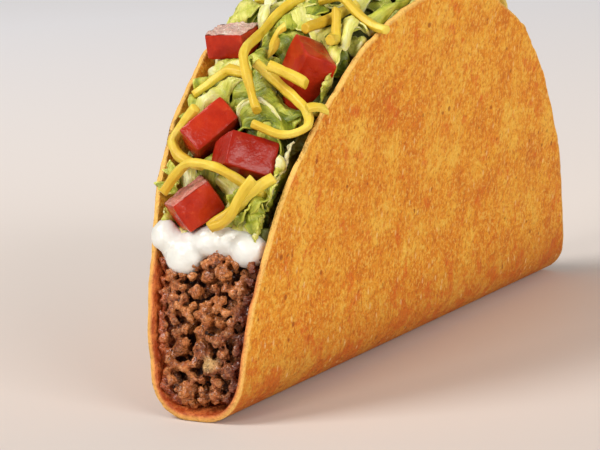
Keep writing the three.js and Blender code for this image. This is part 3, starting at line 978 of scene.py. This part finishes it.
def follow(route, along):
    """The angle, side and heading of a curved route at each point, and its length."""
    stops, order = np.linspace(0, 1, len(route)), min(2, len(route) - 1)
    to_angle = np.polyfit(stops, np.radians([stop[0] for stop in route]), order)
    to_side = np.polyfit(stops, [stop[1] * MM for stop in route], order)
    ahead = np.stack([np.polyval(np.polyder(to_angle), along) * TURN,
                      np.polyval(np.polyder(to_side), along)], 1)
    ahead /= np.linalg.norm(ahead, axis=1, keepdims=True)
    length = np.hypot(np.ptp(np.polyval(to_angle, stops)) * TURN,
                      np.ptp(np.polyval(to_side, stops)))
    return np.polyval(to_angle, along), np.polyval(to_side, along), ahead, length


# %% Pressing a strip into the heap
UNDER_DICE, UNDER_SHRED = 2.2 * MM, 2.9 * MM


def pressed(angle, reach, side):
    """Keeps a strip below the dice and shreds, clear of the view of them, and in the shell."""
    under_dice = [reach_of(dice_tree, a, b) - UNDER_DICE for a, b in zip(angle, side)]
    under_shreds = [reach_of(shred_tree, a, b) - UNDER_SHRED for a, b in zip(angle, side)]
    reach = np.minimum(reach, np.minimum(under_dice, under_shreds))
    reach = np.array([clear_of_view(*place) for place in zip(angle, reach, side)])
    room = inner_half_width(reach * np.sin(angle)) - 0.8 * MM
    gap = np.where(np.abs(np.cos(angle)) > 0.5, 0.9 * MM, 0)
    inside = reach < edge_reach(angle) + 1.6 * MM
    return reach, np.where(inside, np.clip(side, gap - room, room), side)


# %% Laying one strip of leaf
MOUND = 3  # a strip lifted by more than this many mm comes down to the heap at its ends
strips = []


def lay_strip(route, width, lift, arch, roll, ruffle, paleness, seed):
    """route is a list of (angle in degrees, y in mm); width, lift, arch and ruffle are in mm."""
    strip, along, across = flat_strip()
    angle, side, ahead, length = follow(route, along)
    crinkle = grain(np.stack([along * 5, across * 1.2, along * 0], 1), 1, 2, (seed * 1.7, 0, 0))
    outline = np.stack([along * 6, np.sign(across), across * 0], 1)
    outline = 1 + 0.28 * grain(outline, 1, 2, (seed, 5, 0))
    taper = np.minimum(1, 0.35 + 4 * np.minimum(along, 1 - along))
    half = width * MM / 2 * taper * outline * across
    turn = np.radians(roll[0] + (roll[1] - roll[0]) * along)
    wave = np.sin(seed + along * 17 + np.where(across > 0, 2.2, 0)) * np.abs(across) ** 2.5
    hump = np.sin(pi * along) ** 0.6 if lift > MOUND else 1
    up = (lift * hump + arch * (1 - across**2) + crinkle * 0.8 + ruffle * wave) * MM

    angle = angle - ahead[:, 1] * half * np.cos(turn) / TURN
    side = side + ahead[:, 0] * half * np.cos(turn)
    reach = heap_reach(angle, side) + up + half * np.sin(turn)
    reach, side = pressed(angle, reach, side)
    put_points(strip, spot(angle, reach, side).T)
    pale = paleness + 0.22 * (1 - np.abs(across)) + 0.25 * crinkle + 0.30 * np.abs(across) ** 10
    # painted shade: a strip pressed below the heap's surface, under the toppings or other leaves, is
    # darker
    buried_shade = (heap_reach(angle, side) - reach) / (4.5 * MM)
    keep_value(strip, "pale", np.clip(pale, 0, 1))
    keep_value(strip, "buried_shade", np.clip(buried_shade, 0, 1))
    keep_value(strip, "leaf_across", half / MM + seed * 9)
    keep_value(strip, "leaf_along", along * length / MM)
    strips.append(strip)


# %% Strips placed one by one
# Each row: the route, width, lift, arch, roll at both ends, ruffle and paleness.
NOTABLE = [
    ([(46.8, 13.4), (51, 10.8), (54.5, 7.4), (58, 3.4)], 8.5, 1.2, 0.8, (-14, 10), 0.4, 0.52),
    ([(47.6, 15.2), (50.6, 13.6), (53, 12.2)], 4.5, 1.0, 0.6, (-30, -10), 0.3, 0.10),
    ([(59.5, 11.0), (59.6, 7.4), (58.2, 3.6)], 4.2, 1.0, 0.8, (10, -10), 0.4, 0.30),
    ([(65, -13.0), (61, -14.0), (57.5, -15.6), (54, -16.6)], 3.4, 2.0, 0.5, (30, 5), 0.2, 0.50),
    ([(62, -15.4), (66.5, -13.8), (70.5, -15.2), (67, -18.6)], 3.2, 2.2, 0.6, (35, -20), 0.4, 0.60),
    ([(46.0, 0.6), (48.4, -3.8), (47.8, -8.0), (45.4, -11.4)], 4.6, 0.6, 1.4, (24, -20), 0.4, 0.05),
    ([(52.6, -3.4), (50.6, -8.0), (47.6, -12.2)], 6.0, 0.7, 0.8, (-6, 14), 0.4, 0.22),
    ([(46.6, 1.6), (49.4, -1.8), (49.6, -5.4), (47.2, -9.6)], 1.6, 2.0, 0.3, (60, 50), 0.1, 0.70),
    ([(34.6, -9.6), (31.6, -9.4), (29.4, -11.8)], 5.0, 1.8, 1.0, (30, -26), 1.0, 0.25),
    ([(32.2, -13.4), (29.6, -12.0), (28.4, -9.6)], 4.2, 1.6, 0.8, (-30, 20), 0.8, 0.40),
    ([(37.0, -6.2), (33.6, -6.6), (31.0, -5.0)], 4.0, 1.4, 0.9, (16, 0), 0.4, 0.35),
    ([(34.4, 12.0), (32.0, 11.2), (30.6, 10.0)], 3.6, 1.2, 0.7, (10, -16), 0.5, 0.40),
    ([(77, 11.4), (72.5, 8.0), (68, 6.2), (63.8, 5.6)], 3.2, 3.4, 0.5, (18, 4), 0.2, 0.72),
    ([(76, 17.0), (72, 14.0), (68, 11.4)], 7.0, 1.8, 1.2, (-20, 16), 0.6, 0.45),
    ([(71.5, 3.4), (68.0, 1.0), (64.6, -1.2)], 5.4, 1.0, 1.2, (14, -12), 0.5, 0.18),
    ([(74, -1.0), (71.0, -4.0), (67.4, -5.2)], 5.6, 1.2, 0.9, (-14, 18), 0.5, 0.08),
    ([(44.6, -13.0), (42.2, -13.0), (39.6, -12.6)], 2.0, 0.8, 0.3, (24, 16), 0.1, 0.95),
    ([(38.6, -12.6), (36.6, -12.2), (34.8, -11.8)], 2.0, 0.8, 0.3, (20, 10), 0.1, 0.90),
    ([(42.4, 3.4), (40.4, 1.6), (38.0, 1.0)], 3.2, 1.0, 0.5, (24, 10), 0.3, 0.95),
    ([(50.0, 3.0), (48.6, 1.0), (46.8, -0.6)], 4.4, 0.2, 0.8, (-20, 30), 0.5, 0.12),
    ([(38.0, -13.0), (35.0, -11.0), (32.0, -7.4)], 5.0, 5.5, 0.6, (-25, 10), 0.6, 0.30),
    ([(36.0, -9.6), (33.0, -7.6), (30.5, -5.0)], 4.6, 5.0, 0.6, (20, -15), 0.6, 0.18),
    ([(40.0, -12.4), (37.0, -12.0), (33.0, -11.6)], 3.6, 4.0, 0.6, (10, 30), 0.5, 0.42),
    ([(141, 4.0), (145, 0.5), (149, -3.0)], 6.0, 3.5, 0.8, (-15, 20), 0.6, 0.35),
    ([(139, -8.0), (143, -6.0), (147.5, -1.0)], 5.4, 4.0, 0.8, (20, -10), 0.6, 0.25),
    ([(136, 9.0), (141, 7.0), (146, 5.5)], 5.0, 3.5, 0.8, (-10, -20), 0.6, 0.45),
    ([(39.0, 11.6), (36.8, 12.8), (34.6, 13.2)], 5.0, 2.8, 0.5, (-28, -16), 0.7, 0.35),
    ([(55.5, 12.6), (52.5, 13.2), (49.5, 13.4)], 4.0, 1.7, 0.6, (-28, -18), 0.5, 0.25),
    ([(73.5, 15.0), (70.5, 15.4), (67.5, 15.4)], 4.0, 1.8, 0.6, (-26, -16), 0.5, 0.40),
]
for index, row in enumerate(NOTABLE):
    lay_strip(*row, seed=index + 1)
print("strips placed by hand:", len(strips))

# %% Scattered strips
SCATTERED = 132
HEAP_ANGLES = (29, 151)
ROUTE_ANGLES = (27, 153)
for index in range(SCATTERED):
    middle = luck.uniform(*HEAP_ANGLES)
    room = float(inner_half_width(edge_reach(radians(middle)) * sin(radians(middle)))) / MM
    y = luck.uniform(-1, 1)
    y = (np.sign(y) * abs(y) ** 0.6 if middle > 62 or y > 0 else y) * (room - 2)
    heading = luck.uniform(0, pi)
    length = luck.uniform(12, 28)
    bend = luck.uniform(-4, 4)
    run = np.array([degrees(cos(heading) / TURN * MM), sin(heading)]) * length / 2
    stray = np.array([-degrees(sin(heading) / TURN * MM), cos(heading)]) * bend
    route = [(middle - run[0], y - run[1]), (middle + stray[0], y + stray[1]),
             (middle + run[0], y + run[1])]
    route = [(np.clip(a, *ROUTE_ANGLES), np.clip(b, -room, room)) for a, b in route]
    lift = luck.uniform(-2.6, 1.2)
    roll = (luck.uniform(-40, 40), luck.uniform(-40, 40))
    lay_strip(route, luck.uniform(3.2, 7.0), lift, luck.uniform(0.2, 1.2), roll,
              luck.uniform(0.2, 0.9), luck.uniform(-0.1, 0.7), seed=100 + index)

# %% Leaves under the loose shreds
MOST_PROPS = 22
FIRST_PROP_ANGLE = radians(78)
LEAST_LIFT, MOST_LIFT = 1.2, 8.0
REACH_OF_PROP = 6.5


def loose_places(shred):
    """Places in a shred where the heap is too far below: angle, y in mm and the lift needed."""
    at = points_of(shred)
    main_way = np.linalg.svd(at - at.mean(0), full_matrices=False)[2][0]
    run = (at - at.mean(0)) @ main_way
    for share in (0.15, 0.5, 0.85):
        place = run.min() + share * np.ptp(run)
        x, y, z = at[np.abs(run - place) < 1.5 * MM].mean(0)
        angle, reach = np.arctan2(z, -x), np.hypot(x, z)
        lift = (reach - heap_reach(angle, y)) / MM - 2.0
        if angle >= FIRST_PROP_ANGLE and lift >= LEAST_LIFT:
            yield np.array([degrees(angle), y / MM]), lift


loose = [found for shred in shreds for found in loose_places(shred)]
for middle, lift in loose[:MOST_PROPS]:
    heading = luck.uniform(0, pi)
    run_out = np.array([degrees(cos(heading) / TURN * MM), sin(heading)]) * REACH_OF_PROP
    route = [middle - run_out, middle, middle + run_out]
    lay_strip(route, luck.uniform(5.0, 7.5), min(lift, MOST_LIFT), 0.6, (-12, 12), 0.5,
              luck.uniform(0.1, 0.6), seed=300 + len(strips))
print("strips in all:", len(strips))

# %% From strips to leaves
LEAF_THICKNESS = 0.34 * MM
leaves = joined(strips, "lettuce_shreds")
apply_modifier(leaves, "SMOOTH", factor=0.5, iterations=3)
leaf_points = points_of(leaves)
wrinkles = grain(leaf_points, 0.0036, 2) * 0.38 + grain(leaf_points, 0.0015, 2, (2, 7, 1)) * 0.20
push_out(leaves, wrinkles * MM)
apply_modifier(leaves, "SOLIDIFY", thickness=LEAF_THICKNESS, offset=0)
smooth(leaves)

# %% Lettuce finish
leaf = Recipe("lettuce")
paleness = leaf.attribute("pale")
on_leaf = leaf.node("ShaderNodeCombineXYZ", {}, {
    "X": leaf.attribute("leaf_across"),
    "Y": leaf.attribute("leaf_along") * 0.16,
})
veins = leaf.noise(1.5, 3.0, 0.6, on_leaf)
leaf_tone = leaf.noise(240, 4.0, 0.6)
green = leaf.ramp(paleness + (leaf_tone - 0.5) * 0.45 + (veins - 0.5) * 0.55, [
    (0.00, (0.095, 0.140, 0.008)),
    (0.25, (0.255, 0.300, 0.018)),
    (0.50, (0.520, 0.530, 0.060)),
    (0.75, (0.720, 0.690, 0.170)),
    (1.00, (0.790, 0.770, 0.430)),
])
# painted shade on the buried parts of the leaves
green = leaf.mix(leaf.attribute("buried_shade") * 0.75, green, (0.055, 0.060, 0.008))
leaf.feed("Base Color", green)
leaf.feed("Roughness", 0.34 + leaf_tone * 0.2)
leaf.set(Subsurface_Weight=0.2, Subsurface_Radius=(0.002, 0.003, 0.0008), Subsurface_Scale=0.4)
leaf.bumps((veins, 0.0005), (leaf_tone, 0.0004))
finish(leaves, leaf, "lettuce", "lettuce")

# %% Core of the lettuce
CORE_DEPTH = 3.0 * MM
lettuce_core = copy_of_node("lettuce", "lettuce_core")
apply_modifier(lettuce_core, "REMESH", mode="VOXEL", voxel_size=0.9 * MM)
core_at = points_of(lettuce_core)
push_out(lettuce_core, -CORE_DEPTH + grain(core_at, 0.004, 3) * 1.3 * MM)
smooth(lettuce_core)
shade = Recipe("lettuce_depths")
shade_tone = shade.noise(260, 4.0, 0.6)
shade.feed("Base Color", shade.mix(shade_tone, (0.045, 0.048, 0.007), (0.15, 0.17, 0.022)))
shade.set(Roughness=0.5)
shade.bumps((shade_tone, 0.0012))
finish(lettuce_core, shade, "lettuce")

# %% Size of the model
boxes = {"cad": cad_box, "visual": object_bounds()}
{k: [list(corner) for corner in v] for k, v in boxes.items()}
